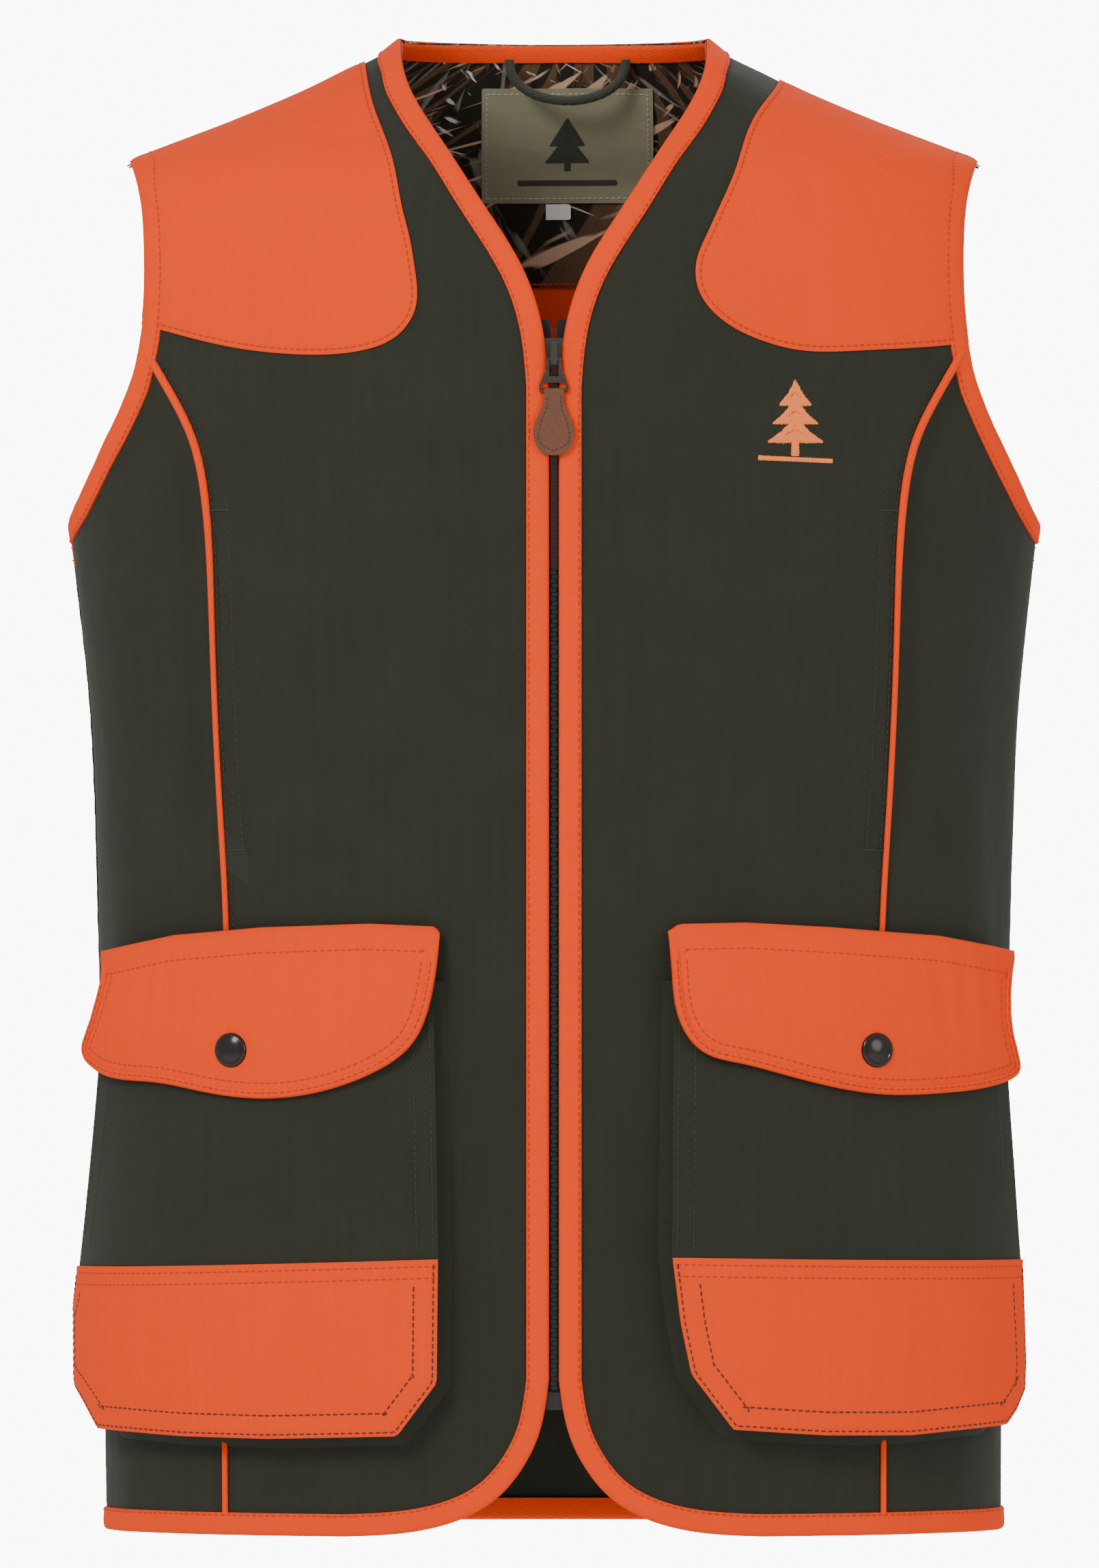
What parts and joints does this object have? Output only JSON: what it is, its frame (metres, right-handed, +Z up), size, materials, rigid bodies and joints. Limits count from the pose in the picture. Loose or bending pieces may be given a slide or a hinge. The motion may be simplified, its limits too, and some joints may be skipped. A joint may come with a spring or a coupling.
{
  "type": "vest",
  "caption": "Sleeveless field vest in dark olive and blaze orange, with a front zip, two flapped bellows pockets, slanted hand pockets and a rear game pocket.",
  "frame": {"origin": "centre of the vest's box at the height of its hem, which hangs level", "axes": "+Z up to the neck, -Y out of the front, +X to the wearer's left"},
  "size_m": [0.4234, 0.2227, 0.6512],
  "materials": {
    "orange_twill": "blaze orange cotton twill, matt",
    "orange_binding": "blaze orange twill cut on the bias and folded",
    "olive_twill": "dark olive cotton twill, matt",
    "camo_lining": "printed reed pattern, brushed",
    "pocketing": "plain lining cloth",
    "zip_tape": "black woven polyester tape",
    "zip_plastic": "moulded acetal, black",
    "zip_metal": "dark nickel, lightly worn",
    "snap_metal": "black nickel, polished dome",
    "pull_leather": "brown split leather",
    "loop_cord": "covered cord, dark olive",
    "label_satin": "woven satin, sage",
    "tag_satin": "white printed satin",
    "orange_thread": "embroidery thread"
  },
  "bodies": {
    "vest": {"back_yoke": "orange_twill", "shoulder_patch_left": "orange_twill", "shoulder_patch_right": "orange_twill", "neck_binding": "orange_binding", "back_hem_binding": "orange_binding", "game_pocket_binding": "orange_binding", "front_binding_left": "orange_binding", "front_binding_right": "orange_binding", "armhole_binding_left": "orange_binding", "armhole_binding_right": "orange_binding", "princess_piping_left": "orange_binding", "princess_piping_right": "orange_binding", "back_panel": "olive_twill", "game_pocket_panel": "olive_twill", "game_pocket_gusset": "olive_twill", "front_center_left": "olive_twill", "front_center_right": "olive_twill", "front_side_left": "olive_twill", "front_side_right": "olive_twill", "pocket_gusset_left": "olive_twill", "pocket_gusset_right": "olive_twill", "back_facing": "camo_lining", "hand_pocket_bag_left": "pocketing", "hand_pocket_bag_right": "pocketing", "zip_tape_left": "zip_tape", "zip_tape_right": "zip_tape", "zip_teeth_left": "zip_plastic", "zip_teeth_right": "zip_plastic", "zip_top_stop_left": "zip_plastic", "zip_top_stop_right": "zip_plastic", "zip_bottom_box": "zip_plastic", "zip_insertion_pin": "zip_plastic", "neck_label": "label_satin", "size_tag": "tag_satin", "chest_emblem": "orange_thread"},
    "slider": {"zip_slider_body": "zip_metal"},
    "pull": {"zip_pull": "zip_metal"},
    "tab": {"pull_tab": "pull_leather"},
    "loop": {"hanging_loop": "loop_cord"},
    "flap_left": {"pocket_flap_left": "orange_twill", "flap_lining_left": "pocketing", "flap_binding_left": "orange_binding", "snap_cap_left": "snap_metal", "snap_socket_left": "snap_metal"},
    "pocket_left": {"pocket_front_left": "olive_twill", "pocket_base_left": "orange_twill", "snap_stud_left": "snap_metal", "snap_post_left": "snap_metal"},
    "flap_right": {"pocket_flap_right": "orange_twill", "flap_lining_right": "pocketing", "flap_binding_right": "orange_binding", "snap_cap_right": "snap_metal", "snap_socket_right": "snap_metal"},
    "pocket_right": {"pocket_front_right": "olive_twill", "pocket_base_right": "orange_twill", "snap_stud_right": "snap_metal", "snap_post_right": "snap_metal"}
  },
  "joints": [
    {"name": "zip_slide", "type": "slide", "parent": "vest", "child": "slider", "axis": [0, 0, 1], "range_m": [-0.438, 0], "deforming": ["zip_teeth_left", "zip_teeth_right"]},
    {"name": "pull_hinge", "type": "hinge", "parent": "slider", "child": "pull", "pos_m": [0, -0.1029, 0.5078], "axis": [-1, 0, 0], "range_deg": [0, 120]},
    {"name": "tab_hinge", "type": "hinge", "parent": "pull", "child": "tab", "pos_m": [0, -0.1029, 0.4943], "axis": [-1, 0, 0], "range_deg": [0, 50]},
    {"name": "loop_hinge", "type": "hinge", "parent": "vest", "child": "loop", "pos_m": [0.006, 0.0431, 0.6425], "axis": [-1, 0, 0], "range_deg": [0, 150]},
    {"name": "flap_hinge_left", "type": "hinge", "parent": "vest", "child": "flap_left", "pos_m": [0.14762, -0.07007, 0.2635], "axis": [-0.8758, -0.4826, 0], "range_deg": [0, 150]},
    {"name": "flap_hinge_right", "type": "hinge", "parent": "vest", "child": "flap_right", "pos_m": [-0.14762, -0.07007, 0.2635], "axis": [-0.8758, 0.4826, 0], "range_deg": [0, 150]},
    {"name": "pocket_hinge_left", "type": "hinge", "parent": "vest", "child": "pocket_left", "pos_m": [0.14087, -0.07819, 0.24], "axis": [-0.8973, -0.4415, 0], "range_deg": [-2.8, 0], "deforming": ["pocket_gusset_left"]},
    {"name": "pocket_hinge_right", "type": "hinge", "parent": "vest", "child": "pocket_right", "pos_m": [-0.14087, -0.07819, 0.24], "axis": [-0.8973, 0.4415, 0], "range_deg": [-2.8, 0], "deforming": ["pocket_gusset_right"]}
  ]
}
